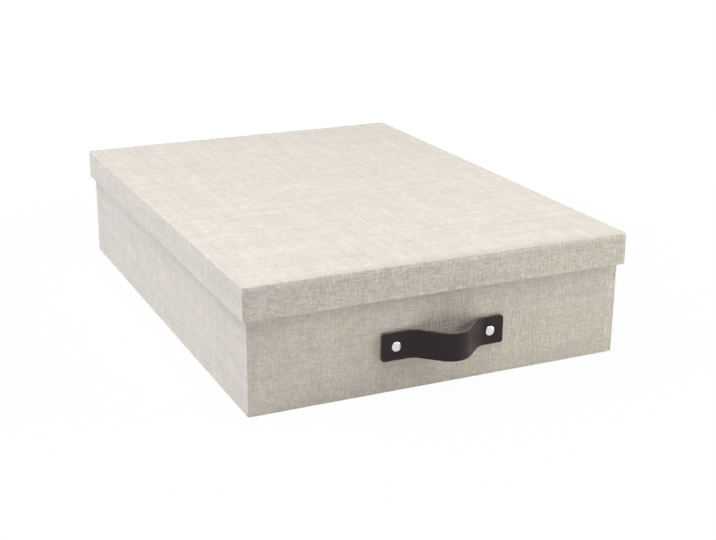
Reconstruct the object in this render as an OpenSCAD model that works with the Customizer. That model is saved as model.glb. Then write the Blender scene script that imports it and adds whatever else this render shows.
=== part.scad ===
// File box with a lift-off lid and a leather pull strap on its short front face.
// All sizes are in millimetres. X runs along the front face, the front face looks
// towards -Y and +Z is up. The origin is the middle of the base, on the surface
// that the box stands on. The lid lifts straight up.

/* [Closed box] */
// Outside width of the lid, along the front face
lid_w = 260; // [200:1:340]
// Outside depth of the lid, from front to back
lid_d = 350; // [240:1:450]
// Height of the closed box
closed_h = 82; // [70:1:160]
// Height of the lid's skirt, from the lid's top to the skirt's lower edge
skirt_h = 21; // [16:1:26]

/* [Board and covering] */
// Thickness of the board
board_t = 2; // [1.5:0.1:3]
// Thickness of the cloth covering
wrap_t = 0.4; // [0.3:0.05:0.6]
// Thickness of the paper lining
lining_t = 0.2; // [0.15:0.05:0.3]
// Thickness of the paper stays at the corners
stay_t = 0.15; // [0.1:0.05:0.3]
// Length of each leg of a corner stay
stay_leg = 14; // [8:1:20]
// Distance that a stay keeps from the ends of its corner
stay_margin = 3; // [2.5:0.5:5]
// Thickness of the sheet under the base
base_sheet_t = 0.4; // [0.2:0.1:1]
// Distance of the base sheet's edge from the side of the tray
base_sheet_inset = 2.5; // [2:0.5:8]
// Gap between the lid's skirt and the tray, on each side
lid_gap = 0.5; // [0.3:0.1:1.5]

/* [Edges and turned-in cloth] */
// Radius of the upright corners
corner_r = 1.2; // [0.8:0.1:2.2]
// Radius of the lid's top edges and the tray's base edges
fold_r = 1.2; // [0.8:0.1:2.2]
// Radius of the tray's rim and the skirt's lower edge
rim_r = 0.7; // [0.7:0.1:1.2]
// Depth of the cloth turned in over the tray's rim
tray_turn_in = 15; // [8:1:25]
// Depth of the cloth turned in over the skirt's lower edge
lid_turn_in = 12; // [6:1:12]
// Width of the cloth turned under the tray's base
turn_under = 15; // [10:1:25]

/* [Strap] */
// Length of the strap, from end to end as it lies on the face
strap_l = 83.5; // [79:0.5:110]
// Width of the strap
strap_w = 18; // [12:1:26]
// Thickness of the leather
strap_t = 2.6; // [1.6:0.1:3]
// Height of the strap's centre line above the base
strap_z = 30.5; // [20:0.5:40]
// Radius of the strap's end corners
strap_corner_r = 2; // [1:0.5:5]
// Distance from the front face to the outside of the arch
arch_rise = 18.8; // [14:0.1:21.5]
// Distance of the arch's crest from the middle, towards +X
arch_lean = 2.2; // [0:0.1:4]
// Outside radius of the arch's crest
crest_r = 14; // [11:0.5:16]
// Radius of the bend where the arch leaves the face, on its open side
foot_r = 9.5; // [4:0.5:11]
// Distance from the +X rivet's head to the bend beside it
foot_gap = 0.2; // [0.1:0.1:3]

/* [Rivets] */
// Distance between the two rivets
rivet_pitch = 64.5; // [63:0.5:68]
// Diameter of a rivet's head
head_d = 6.5; // [5:0.5:8]
// Height of a rivet's head
head_h = 1.4; // [0.8:0.1:2]
// Diameter of a rivet's post
post_d = 3.2; // [2.4:0.1:4]
// Clearance of the post in its hole, on the radius
hole_clearance = 0.1; // [0.05:0.05:0.3]
// Diameter of a back cap
cap_d = 8; // [6:0.5:10]
// Thickness of a back cap
cap_t = 1.2; // [1:0.1:2]
// Depth of the socket that takes the post, in a back cap
socket_depth = 0.6; // [0.3:0.1:0.8]
// Clearance of the post in the cap's socket, on the radius
socket_clearance = 0.03; // [0.02:0.01:0.08]

/* [Hidden] */
$fn = 64;
// A cut reaches this far past the face that it opens
over = 1;

// Levels, from the base upwards
tray_z = base_sheet_t;
tray_board_z = tray_z + wrap_t;
floor_z = tray_board_z + board_t;
lining_top_z = floor_z + lining_t;
skirt_z = closed_h - skirt_h;
lid_board_top_z = closed_h - wrap_t;
lid_ceiling_z = lid_board_top_z - board_t;
rim_z = lid_ceiling_z - lining_t;
tray_board_top_z = rim_z - wrap_t;
lid_board_z = skirt_z + wrap_t;
tray_stay_z0 = floor_z + stay_margin;
tray_stay_z1 = tray_board_top_z - stay_margin;
lid_stay_z0 = lid_board_z + stay_margin;
lid_stay_z1 = lid_ceiling_z - stay_margin;

// The lid's wall where the cloth is turned in: cloth, board and cloth
hem_t = wrap_t + board_t + wrap_t;
overhang = hem_t + lid_gap;
tray_w = lid_w - 2 * overhang;
tray_d = lid_d - 2 * overhang;
face_y = -tray_d / 2;

// The strap's arch leaves the face foot_x from its crest, on each side. Its legs
// are straight, so their steepness follows from the radii of the bends they join.
foot_x = rivet_pitch / 2 - head_d / 2 - foot_gap - arch_lean;
bend_radii = crest_r + foot_r;
centre_drop = bend_radii - (arch_rise - strap_t);
leg_l = sqrt(pow(foot_x, 2) + pow(centre_drop, 2) - pow(bend_radii, 2));
leg_slope = atan2(foot_x, centre_drop) - atan2(leg_l, bend_radii);
// Straight steps in each bend of the strap
bend_steps = 16;

cloth_colour = [0.9, 0.87, 0.82];
board_colour = [0.62, 0.58, 0.52];
paper_colour = [0.95, 0.94, 0.91];
leather_colour = [0.2, 0.16, 0.17];
nickel_colour = [0.84, 0.82, 0.8];

// ---- Outlines ----

// A rectangle with its own corner radius at the low and at the high edge.
// It is centred in X and rises from y = 0. Its two halves overlap in the middle.
module rounded_outline(w, h, low_r, high_r) {
    half_outline(w, h - high_r, low_r);
    translate([0, h])
        mirror([0, 1])
            half_outline(w, h - low_r, high_r);
}

// A rectangle whose corners are round at y = 0 and square at y = h
module half_outline(w, h, r) {
    translate([-w / 2, r])
        square([w, h - r]);
    translate([r - w / 2, 0])
        square([w - 2 * r, h]);
    for (side = [-1, 1])
        translate([side * (w / 2 - r), r])
            circle(r);
}

// A block whose twelve edges are rounded, from z0 to z1. The upright edges,
// the low edges and the high edges each have their own radius.
module rounded_block(w, d, z0, z1, upright_r, low_r, high_r) {
    intersection() {
        upright_block(w, d, z0, z1, upright_r);
        translate([0, d / 2, z0])
            rotate([90, 0, 0])
                linear_extrude(d)
                    rounded_outline(w, z1 - z0, low_r, high_r);
        translate([-w / 2, 0, z0])
            rotate([90, 0, 90])
                linear_extrude(w)
                    rounded_outline(d, z1 - z0, low_r, high_r);
    }
}

// A block with round upright edges only
module upright_block(w, d, z0, z1, r) {
    translate([0, -d / 2, z0])
        linear_extrude(z1 - z0)
            rounded_outline(w, d, r, r);
}

// A plain block, centred in X and Y, from z0 to z1
module block(w, d, z0, z1) {
    translate([-w / 2, -d / 2, z0])
        cube([w, d, z1 - z0]);
}

// A plain ring of wall t thick, inside a w by d outline
module wall_ring(w, d, t, z0, z1) {
    difference() {
        block(w, d, z0, z1);
        block(w - 2 * t, d - 2 * t, z0 - over, z1 + over);
    }
}

// ---- Boards, shared by the tray and the lid ----

// The four corners of a w by d core, as far as a stay's legs reach, from z0 to z1
module corner_regions(w, d, z0, z1) {
    for (x = [-1, 1], y = [-1, 1])
        translate([x * w / 2, y * d / 2, (z0 + z1) / 2])
            cube([2 * stay_leg, 2 * stay_leg, z1 - z0], center = true);
}

// What is left of a core inside its stays
module inside_stays(w, d, z0, z1) {
    upright_block(w - 2 * stay_t, d - 2 * stay_t, z0 - over, z1 + over,
        corner_r - wrap_t - stay_t);
}

// Four strips round the upright corners of a w by d core, from z0 to z1
module corner_stays(w, d, z0, z1) {
    intersection() {
        difference() {
            upright_block(w, d, z0 - over, z1 + over, corner_r - wrap_t);
            inside_stays(w, d, z0 - over, z1 + over);
        }
        corner_regions(w, d, z0, z1);
    }
}

// The cut that sinks the stays into the boards. It reaches past the boards' faces.
module stay_relief(w, d, z0, z1) {
    difference() {
        corner_regions(w, d, z0, z1);
        inside_stays(w, d, z0, z1);
    }
}

// The region of the front or back wall board: the full width between the corners
module end_wall(w, d, side, z0, z1) {
    translate([-w / 2, side * (d / 2 - board_t / 2) - board_t / 2, z0])
        cube([w, board_t, z1 - z0]);
}

// The region of the left or right wall board, between the front and back boards
module side_wall(w, d, side, z0, z1) {
    translate([side * (w / 2 - board_t / 2) - board_t / 2, board_t - d / 2, z0])
        cube([board_t, d - 2 * board_t, z1 - z0]);
}

// ---- Tray ----

// Everything inside the tray's cloth, filled
module tray_core() {
    rounded_block(tray_w - 2 * wrap_t, tray_d - 2 * wrap_t, tray_board_z, tray_board_top_z,
        corner_r - wrap_t, fold_r - wrap_t, rim_r - wrap_t);
}

// One wall board of the tray, cut from the core and relieved for the stays
module tray_wall_board() {
    color(board_colour)
        difference() {
            intersection() {
                tray_core();
                children();
            }
            stay_relief(tray_w - 2 * wrap_t, tray_d - 2 * wrap_t, tray_stay_z0, tray_stay_z1);
        }
}

module tray_base_board() {
    color(board_colour)
        intersection() {
            tray_core();
            block(tray_w, tray_d, tray_board_z, floor_z);
        }
}

module tray_front_board() {
    difference() {
        tray_wall_board()
            end_wall(tray_w - 2 * wrap_t, tray_d - 2 * wrap_t, -1, floor_z, rim_z);
        rivet_holes();
    }
}

module tray_back_board() {
    tray_wall_board()
        end_wall(tray_w - 2 * wrap_t, tray_d - 2 * wrap_t, 1, floor_z, rim_z);
}

module tray_left_board() {
    tray_wall_board()
        side_wall(tray_w - 2 * wrap_t, tray_d - 2 * wrap_t, -1, floor_z, rim_z);
}

module tray_right_board() {
    tray_wall_board()
        side_wall(tray_w - 2 * wrap_t, tray_d - 2 * wrap_t, 1, floor_z, rim_z);
}

module tray_corner_stays() {
    color(paper_colour)
        corner_stays(tray_w - 2 * wrap_t, tray_d - 2 * wrap_t, tray_stay_z0, tray_stay_z1);
}

// Cloth over the walls, over the rim and down inside, and under the base
module tray_wrap() {
    turn_in_z = rim_z - tray_turn_in;
    color(cloth_colour)
        difference() {
            rounded_block(tray_w, tray_d, tray_z, rim_z, corner_r, fold_r, rim_r);
            difference() {
                tray_core();
                // leaves the turned-in cloth standing inside the boards
                wall_ring(tray_w - 2 * (wrap_t + board_t), tray_d - 2 * (wrap_t + board_t),
                    wrap_t, turn_in_z, rim_z);
            }
            block(tray_w - 2 * hem_t, tray_d - 2 * hem_t, turn_in_z, rim_z + over);
            block(tray_w - 2 * turn_under, tray_d - 2 * turn_under, 0, floor_z);
            rivet_holes();
        }
}

module tray_wall_lining() {
    color(paper_colour)
        difference() {
            wall_ring(tray_w - 2 * (wrap_t + board_t), tray_d - 2 * (wrap_t + board_t),
                lining_t, floor_z, rim_z - tray_turn_in);
            rivet_holes();
        }
}

module tray_floor_lining() {
    lined = wrap_t + board_t + lining_t;
    color(paper_colour)
        block(tray_w - 2 * lined, tray_d - 2 * lined, floor_z, lining_top_z);
}

// The sheet lies over the turned-under cloth, and its middle meets the board
module tray_base_sheet() {
    color(paper_colour) {
        block(tray_w - 2 * base_sheet_inset, tray_d - 2 * base_sheet_inset, 0, base_sheet_t);
        block(tray_w - 2 * turn_under, tray_d - 2 * turn_under, 0, tray_board_z);
    }
}

// ---- Lid ----

// Everything inside the lid's cloth, filled
module lid_core() {
    rounded_block(lid_w - 2 * wrap_t, lid_d - 2 * wrap_t, lid_board_z, lid_board_top_z,
        corner_r - wrap_t, rim_r - wrap_t, fold_r - wrap_t);
}

// One skirt board of the lid, cut from the core and relieved for the stays
module lid_wall_board() {
    color(board_colour)
        difference() {
            intersection() {
                lid_core();
                children();
            }
            stay_relief(lid_w - 2 * wrap_t, lid_d - 2 * wrap_t, lid_stay_z0, lid_stay_z1);
        }
}

// The top board lies between the skirt boards, level with their upper edges
module lid_top_board() {
    color(board_colour)
        block(lid_w - 2 * (wrap_t + board_t), lid_d - 2 * (wrap_t + board_t),
            lid_ceiling_z, lid_board_top_z);
}

module lid_front_board() {
    lid_wall_board()
        end_wall(lid_w - 2 * wrap_t, lid_d - 2 * wrap_t, -1, skirt_z, lid_board_top_z);
}

module lid_back_board() {
    lid_wall_board()
        end_wall(lid_w - 2 * wrap_t, lid_d - 2 * wrap_t, 1, skirt_z, lid_board_top_z);
}

module lid_left_board() {
    lid_wall_board()
        side_wall(lid_w - 2 * wrap_t, lid_d - 2 * wrap_t, -1, skirt_z, lid_board_top_z);
}

module lid_right_board() {
    lid_wall_board()
        side_wall(lid_w - 2 * wrap_t, lid_d - 2 * wrap_t, 1, skirt_z, lid_board_top_z);
}

module lid_corner_stays() {
    color(paper_colour)
        corner_stays(lid_w - 2 * wrap_t, lid_d - 2 * wrap_t, lid_stay_z0, lid_stay_z1);
}

// Cloth over the top and the skirt, round its lower edge and up inside
module lid_wrap() {
    turn_in_z = skirt_z + lid_turn_in;
    color(cloth_colour)
        difference() {
            rounded_block(lid_w, lid_d, skirt_z, closed_h, corner_r, rim_r, fold_r);
            difference() {
                lid_core();
                // leaves the turned-in cloth standing inside the boards
                wall_ring(lid_w - 2 * (wrap_t + board_t), lid_d - 2 * (wrap_t + board_t),
                    wrap_t, skirt_z, turn_in_z);
            }
            block(lid_w - 2 * hem_t, lid_d - 2 * hem_t, skirt_z - over, turn_in_z);
        }
}

// Paper under the top board and down the skirt boards to the turned-in cloth
module lid_lining() {
    inner_w = lid_w - 2 * (wrap_t + board_t);
    inner_d = lid_d - 2 * (wrap_t + board_t);
    color(paper_colour) {
        block(inner_w, inner_d, rim_z, lid_ceiling_z);
        wall_ring(inner_w, inner_d, lining_t, skirt_z + lid_turn_in, lid_ceiling_z);
    }
}

// ---- Handle ----

// Places its children at each rivet, on the front face, looking towards -Y
module at_rivets() {
    for (side = [-1, 1])
        translate([side * rivet_pitch / 2, face_y, strap_z])
            rotate([90, 0, 0])
                children();
}

// The holes for the rivets, right through the strap and the front wall
module rivet_holes() {
    at_rivets()
        translate([0, 0, -(hem_t + over)])
            cylinder(r = post_d / 2 + hole_clearance, h = hem_t + strap_t + 2 * over);
}

// Points along an arc about a centre, from the direction a0 to the direction a1
function arc(centre, r, a0, a1) = [
    for (i = [0:bend_steps])
        let (a = a0 + (a1 - a0) * i / bend_steps)
            centre + r * [cos(a), sin(a)]
];

// Half of the strap's edge, seen from above, from its crest at x = 0 to its end.
// The face is at y = 0 and the arch stands out towards -Y: crest, leg, foot and
// flat end, then back inside.
function half_edge(end_x) =
    let (
        crest = [0, crest_r - arch_rise],
        foot = [foot_x, -strap_t - foot_r]
    )
    concat(
        arc(crest, crest_r, -90, leg_slope - 90),
        arc(foot, foot_r, 90 + leg_slope, 90),
        [[end_x, -strap_t], [end_x, 0]],
        arc(foot, foot_r + strap_t, 90, 90 + leg_slope),
        arc(crest, crest_r - strap_t, leg_slope - 90, -90)
    );

// The whole edge: the half that the arch leans to, and the other half mirrored
module strap_edge() {
    short = half_edge(strap_l / 2 - arch_lean);
    long = half_edge(strap_l / 2 + arch_lean);
    translate([arch_lean, 0])
        polygon(concat(
            short,
            [for (i = [len(long) - 2:-1:1]) [-long[i].x, long[i].y]]
        ));
}

module handle_strap() {
    color(leather_colour)
        difference() {
            translate([0, face_y, strap_z])
                intersection() {
                    linear_extrude(strap_w, center = true)
                        strap_edge();
                    // the strip's outline as it is cut, with its round corners
                    translate([0, 0, -strap_w / 2])
                        rotate([90, 0, 0])
                            linear_extrude(arch_rise)
                                rounded_outline(strap_l, strap_w, strap_corner_r, strap_corner_r);
                }
            rivet_holes();
        }
}

// A shallow dome on a post that ends in the back cap's socket
module rivet() {
    dome_r = (head_d * head_d / 4 + head_h * head_h) / (2 * head_h);
    translate([0, 0, strap_t])
        rotate_extrude()
            intersection() {
                translate([0, head_h - dome_r])
                    circle(dome_r);
                square([head_d / 2, head_h]);
            }
    translate([0, 0, -(wrap_t + board_t + lining_t + socket_depth)])
        cylinder(d = post_d, h = wrap_t + board_t + lining_t + socket_depth + strap_t);
}

module handle_rivets() {
    color(nickel_colour)
        at_rivets()
            rivet();
}

module rivet_back_caps() {
    wall_t = wrap_t + board_t + lining_t;
    color(nickel_colour)
        at_rivets()
            difference() {
                translate([0, 0, -(wall_t + cap_t)])
                    cylinder(d = cap_d, h = cap_t);
                translate([0, 0, -(wall_t + socket_depth)])
                    cylinder(r = post_d / 2 + socket_clearance, h = socket_depth + over);
            }
}

tray_base_board();
tray_front_board();
tray_back_board();
tray_left_board();
tray_right_board();
tray_corner_stays();
tray_wrap();
tray_wall_lining();
tray_floor_lining();
tray_base_sheet();
lid_top_board();
lid_front_board();
lid_back_board();
lid_left_board();
lid_right_board();
lid_corner_stays();
lid_wrap();
lid_lining();
handle_strap();
handle_rivets();
rivet_back_caps();
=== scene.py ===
"""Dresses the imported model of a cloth-covered file box: its coverings, its leather
pull strap, its rivets, the finishes of its boards and papers, and a plain stage."""

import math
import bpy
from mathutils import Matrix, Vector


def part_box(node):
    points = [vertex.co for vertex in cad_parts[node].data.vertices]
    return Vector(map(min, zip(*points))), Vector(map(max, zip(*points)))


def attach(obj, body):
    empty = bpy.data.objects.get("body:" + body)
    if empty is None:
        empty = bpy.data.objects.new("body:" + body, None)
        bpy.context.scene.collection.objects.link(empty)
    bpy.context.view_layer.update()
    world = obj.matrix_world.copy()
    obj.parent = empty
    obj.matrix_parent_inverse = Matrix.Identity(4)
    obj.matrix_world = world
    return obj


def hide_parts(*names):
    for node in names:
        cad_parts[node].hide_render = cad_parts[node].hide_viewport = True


bl_info = {
    "name": "File Box With Lift-Off Lid",
    "version": (1, 0, 0),
    "blender": (4, 5, 0),
    "location": "3D View > Sidebar > File Box",
    "description": "Builds a file box's covering, strap, rivets and finishes on its packed model",
    "category": "Object",
}

import bmesh
import bpy
from bpy.props import FloatProperty, FloatVectorProperty, PointerProperty
from mathutils import Vector, noise

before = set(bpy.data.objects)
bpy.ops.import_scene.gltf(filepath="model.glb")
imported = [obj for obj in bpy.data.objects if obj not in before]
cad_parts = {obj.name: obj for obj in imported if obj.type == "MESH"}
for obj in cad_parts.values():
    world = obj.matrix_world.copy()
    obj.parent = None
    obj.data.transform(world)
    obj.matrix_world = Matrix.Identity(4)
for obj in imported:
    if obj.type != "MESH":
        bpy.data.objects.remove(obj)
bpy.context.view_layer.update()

LID_LOW, LID_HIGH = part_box("lid_wrap")
TRAY_LOW, TRAY_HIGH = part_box("tray_wrap")
STRAP_LOW, STRAP_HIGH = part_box("handle_strap")
RIVETS_LOW, RIVETS_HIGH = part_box("handle_rivets")
CAPS_LOW, CAPS_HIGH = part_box("rivet_back_caps")
BOARD_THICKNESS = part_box("lid_top_board")[1].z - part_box("lid_top_board")[0].z
WALL_LINING_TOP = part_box("tray_wall_lining")[1].z
FACE_Y = STRAP_HIGH.y  # the tray's front face, which the strap's ends lie on
HEAD_RADIUS = (RIVETS_HIGH.z - RIVETS_LOW.z) / 2


def paint(red, green, blue):
    """A colour as it is seen on a screen, from 0 to 255, as a linear colour."""
    codes = (red / 255, green / 255, blue / 255)
    return tuple(c / 12.92 if c <= 0.04045 else ((c + 0.055) / 1.055) ** 2.4 for c in codes)


def shaded(colour, factor):
    """A colour made lighter or darker, at most white."""
    return tuple(min(1.0, part * factor) for part in colour)


# ---- Settings ----


def metres(name, description, default, precision=4):
    """A setting for a size."""
    kind = {"subtype": "DISTANCE", "unit": "LENGTH", "precision": precision}
    return FloatProperty(name=name, description=description, default=default, **kind)


def ratio(name, description, default, highest=1.0):
    """A setting from 0 to its highest."""
    kind = {"min": 0.0, "max": highest, "precision": 3}
    return FloatProperty(name=name, description=description, default=default, **kind)


def watts(name, description, default):
    """A setting for a lamp's power."""
    kind = {"min": 0.0, "unit": "POWER"}
    return FloatProperty(name=name, description=description, default=default, **kind)


def pigment(name, description, *codes):
    """A setting for a colour, with its default as it is seen on a screen."""
    kind = {"subtype": "COLOR", "min": 0.0, "max": 1.0}
    return FloatVectorProperty(name=name, description=description, default=paint(*codes), **kind)


class ClothSettings(bpy.types.PropertyGroup):
    """The covering of the lid and the tray."""

    thickness: metres("Cloth Thickness", "Thickness of the covering", 0.0004)
    corner_radius: metres("Corner Radius", "Radius of the upright corners", 0.0012)
    fold_radius: metres("Fold Radius", "Radius of the lid's top edges", 0.0011)
    base_fold_radius: metres("Base Fold Radius", "Radius of the fold round the base", 0.0005)
    rim_radius: metres("Rim Radius", "Radius of the tray's rim and the skirt's edge", 0.0007)
    lid_turn_in: metres("Lid Turn-In", "Depth of the cloth turned in under the skirt", 0.012)
    turn_under: metres("Turn-Under", "Width of the cloth turned under the base", 0.015)
    grid: metres("Surface Grid", "Spacing of the cuts that let the cloth ripple", 0.006)
    ripple: metres("Ripple", "Depth of the slow waves in the glued cloth", 0.00012, 5)
    front_sag: metres("Front Sag", "How far the lid's front edge is pressed down", 0.00006, 5)
    seam_inset: metres("Seam Inset", "Distance of a lapped cloth edge from its corner", 0.003)
    joint_inset: metres("Joint Inset", "Distance of the boards' joint from the edges", 0.0024)
    joint_depth: metres("Joint Depth", "Depth of the furrow over the boards' joint", 0.00014, 5)
    thread_pitch: metres("Thread Pitch", "Distance between two threads", 0.00075, 5)
    slub: ratio("Slub", "Height of the thick yarn, in tenths of a millimetre", 5.0, 20.0)
    streak: ratio("Streak", "How much paler or darker the stripes in the yarn are", 0.035, 0.2)
    calm: ratio("Calm", "Contrast of the weave where the cloth isn't handled", 0.45)
    # the extra contrast of the weave on the short faces is painted shade of the threads' relief
    open_weave: ratio("Open Weave", "Contrast of the weave on the lid's short ends", 0.84)
    # paler folds: partly worn cloth, partly a painted highlight
    fold_lift: ratio("Fold Lift", "How much paler the cloth is on its folds", 0.04, 0.3)
    # a painted highlight in a band below the lid's front top edge
    front_bleach: ratio("Front Bleach", "How much paler it is below the front edge", 0.14, 0.3)
    # a painted highlight along the lid skirt's lower edge
    rim_lift: ratio("Rim Lift", "How much paler it is along the skirt's lower edge", 0.06, 0.3)
    # painted shade on the lid's top along its front edge
    edge_soil: ratio("Edge Soil", "How much darker it is along the front edge", 0.11, 0.5)
    # painted shade in the furrow over the boards' joint
    joint_soil: ratio("Joint Soil", "How much darker it is along the boards' joint", 0.035, 0.2)
    # a painted shadow on the tray under the lid's skirt
    rub: ratio("Rub", "How much darker the tray is where the skirt rubs on it", 0.11, 0.3)
    light_thread: pigment("Light Thread", "Colour of the palest threads", 255, 250, 243)
    dark_thread: pigment("Dark Thread", "Colour of the darkest threads", 214, 207, 194)


class StrapSettings(bpy.types.PropertyGroup):
    """The leather pull strap and its rivets."""

    thickness: metres("Leather Thickness", "Thickness of the strap", 0.0026)
    end_radius: metres("End Radius", "Radius of the corners at the strap's ends", 0.002)
    arch_lean: metres("Arch Lean", "Distance of the crest from the middle, to the right", 0.0022)
    foot_gap: metres("Foot Gap", "Distance from the right rivet's head to the bend", 0.0002)
    crest_radius: metres("Crest Radius", "Outside radius of the arch's crest", 0.014)
    foot_radius: metres("Foot Radius", "Radius of the bends where the arch begins", 0.0095)
    dimple: metres("Rivet Dimple", "How deep a rivet's head presses the leather in", 0.00035, 5)
    rivet_pitch: metres("Rivet Pitch", "Distance between the two rivets", 0.0645)
    leather: pigment("Leather", "Colour of the leather's grain side", 38, 25, 30)
    cut_edge: pigment("Cut Edge", "Colour of the strap's cut edges", 122, 110, 104)
    nickel: pigment("Nickel", "Colour of the rivets and their back caps", 221, 217, 211)


class PaperSettings(bpy.types.PropertyGroup):
    """The boards and papers under the cloth."""

    board: pigment("Board", "Colour of the grey board", 166, 157, 143)
    stay: pigment("Stay Paper", "Colour of the brown paper stays", 182, 152, 115)
    lining: pigment("Lining Paper", "Colour of the lining paper", 236, 231, 221)
    base: pigment("Base Paper", "Colour of the sheet under the base", 222, 216, 204)


class StageSettings(bpy.types.PropertyGroup):
    """The floor, the light and the camera."""

    floor_radius: metres("Floor Radius", "Radius of the round floor", 6.0, 1)
    ambient: ratio("Ambient Light", "Strength of the even light from all sides", 0.08)
    overhead: watts("Overhead Light", "Power of the soft light above the box", 11.35)
    side: watts("Side Light", "Power of the cool soft light from the left", 16.9)
    fill: watts("Fill Light", "Power of the weak warm light on the right of the front", 4.7)
    focal_length: FloatProperty(
        name="Focal Length",
        description="Focal length of the camera",
        default=64.8,
        unit="CAMERA",
    )


class FileBoxSettings(bpy.types.PropertyGroup):
    """All the settings of the file box."""

    cloth: PointerProperty(type=ClothSettings)
    strap: PointerProperty(type=StrapSettings)
    paper: PointerProperty(type=PaperSettings)
    stage: PointerProperty(type=StageSettings)


# ---- Nodes and finishes ----


class Nodes:
    """A node tree being made."""

    def __init__(self, tree):
        self.tree = tree

    def add(self, kind, inputs=None, **choices):
        """A new node with its choices and inputs set."""
        node = self.tree.nodes.new(kind)
        for name, value in choices.items():
            setattr(node, name, value)
        for name, value in (inputs or {}).items():
            self.feed(node.inputs[name], value)
        return node

    def feed(self, socket, value):
        """Links another socket, or sets a plain value."""
        if isinstance(value, bpy.types.NodeSocket):
            self.tree.links.new(value, socket)
        else:
            socket.default_value = value

    def math(self, operation, *values):
        """The result of a sum on sockets and numbers."""
        inputs = dict(enumerate(values))
        return self.add("ShaderNodeMath", inputs, operation=operation).outputs[0]


class Finish(Nodes):
    """A material being made: one Principled shader and the nodes that feed it."""

    def __init__(self, name, **constants):
        self.material = bpy.data.materials.new(name)
        self.material.use_nodes = True
        super().__init__(self.material.node_tree)
        self.shader = self.tree.nodes["Principled BSDF"]
        for socket, value in constants.items():
            self.shader.inputs[socket.replace("_", " ")].default_value = value

    def surface(self, socket, value):
        """Feeds one of the shader's own inputs."""
        self.feed(self.shader.inputs[socket], value)

    def marked(self, name):
        """What a piece's mesh says in an attribute of its own."""
        return self.add("ShaderNodeAttribute", attribute_name=name).outputs["Fac"]

    def spot(self, x, y, z):
        """A vector from three sockets or numbers."""
        return self.add("ShaderNodeCombineXYZ", {"X": x, "Y": y, "Z": z}).outputs[0]

    def shifted(self, where, by):
        """A place moved aside, so that two clouds of the same scale differ."""
        return self.add("ShaderNodeVectorMath", {0: where, 1: by}, operation="ADD").outputs[0]

    def clouds(self, where, scale, detail=2.0, roughness=0.5):
        """Soft noise from 0 to 1."""
        inputs = {"Vector": where, "Scale": scale, "Detail": detail, "Roughness": roughness}
        return self.add("ShaderNodeTexNoise", inputs).outputs["Fac"]

    def fit(self, value, low, high, to_low=0.0, to_high=1.0):
        """A value taken from one range to another, and kept inside it."""
        inputs = {0: value, 1: low, 2: high, 3: to_low, 4: to_high}
        return self.add("ShaderNodeMapRange", inputs).outputs[0]

    def stretch(self, cloud, to_low=0.0, to_high=1.0):
        """Noise, which seldom leaves 0.3 to 0.7, taken to a whole range."""
        return self.fit(cloud, 0.3, 0.7, to_low, to_high)

    def blend(self, factor, first, second, mode="MIX"):
        """A mix of two colours, which the Mix node has as inputs 6 and 7 and output 2."""
        node = self.add("ShaderNodeMix", {0: factor}, data_type="RGBA", blend_type=mode)
        for place, value in ((6, first), (7, second)):
            self.feed(node.inputs[place], (*value, 1.0) if isinstance(value, tuple) else value)
        return node.outputs[2]

    def relief(self, height, depth, strength=1.0):
        """Bump from a height, in which 1 stands for a depth in metres."""
        inputs = {"Height": height, "Distance": depth, "Strength": strength}
        self.surface("Normal", self.add("ShaderNodeBump", inputs).outputs[0])


# The linen: places in the weave are counted in threads, sizes are in metres.
LANE_STEP = 3.713  # between two threads, in the noise of their tones
TONE_RUN = 7.0  # along a thread, from one tone to the next
TONE_RANGE = (0.32, 0.68)  # becomes the darkest and the palest thread
WEFT_COUNT = 0.94  # weft threads to one warp thread
WEFT_CONTRAST = 1.6  # of the weft's tones, against the warp's
WANDER, WANDER_SCALE = 3.0, 45.0  # how far the threads stray, and the scale of the noise
UNDER = 0.4  # a thread's height where it passes under, against 1 over
CROSSING = 0.15  # the lead in height that hides the other thread
GAP_SHADE = 0.86
STRIPES = ((0.0045, 0.09, 1.0), (0.0016, 0.03, 0.8))  # width, length and strength
SLUB_SIZE = (0.0013, 0.008)  # width and length
PATCHES = (0.975, 1.025)
EARTH_TINTS = ((1.004, 1.002, 0.955), (0.998, 0.995, 1.0))
BLUSH_TINTS = ((0.993, 1.006, 0.988), (1.007, 0.994, 1.002))
TINT_SHARE, HANDLED_TINT = 0.6, 0.9  # and what is added where the weave's relief is painted as shade
RELIEF_STEP = 0.0001  # what a height of 1 stands for
THREAD_HEIGHT, FIBRE_HEIGHT = 0.7, 0.2


def threads(finish, across, along, turn):
    """One set of threads: the tone along each thread, and its height in the weave.

    The turn is 0 for the warp and 1 for the weft, which is under where the warp is over."""
    index = finish.math("FLOOR", across)
    part = finish.math("FRACT", across)
    lane = finish.math("MULTIPLY", index, LANE_STEP)
    run = finish.math("DIVIDE", along, TONE_RUN)
    tone = finish.clouds(finish.spot(lane, run, turn), 1.0, 1.5, 0.6)
    centred = finish.math("MULTIPLY_ADD", part, 2.0, -1.0)
    ridge = finish.math("SUBTRACT", 1.0, finish.math("MULTIPLY", centred, centred))
    wave = finish.math("SINE", finish.math("MULTIPLY", finish.math("ADD", along, index), math.pi))
    over = finish.math("MULTIPLY_ADD", wave, 0.5 - turn, 0.5)
    lift = finish.math("MULTIPLY_ADD", over, 1.0 - UNDER, UNDER)
    return tone, finish.math("MULTIPLY", ridge, lift)


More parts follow.
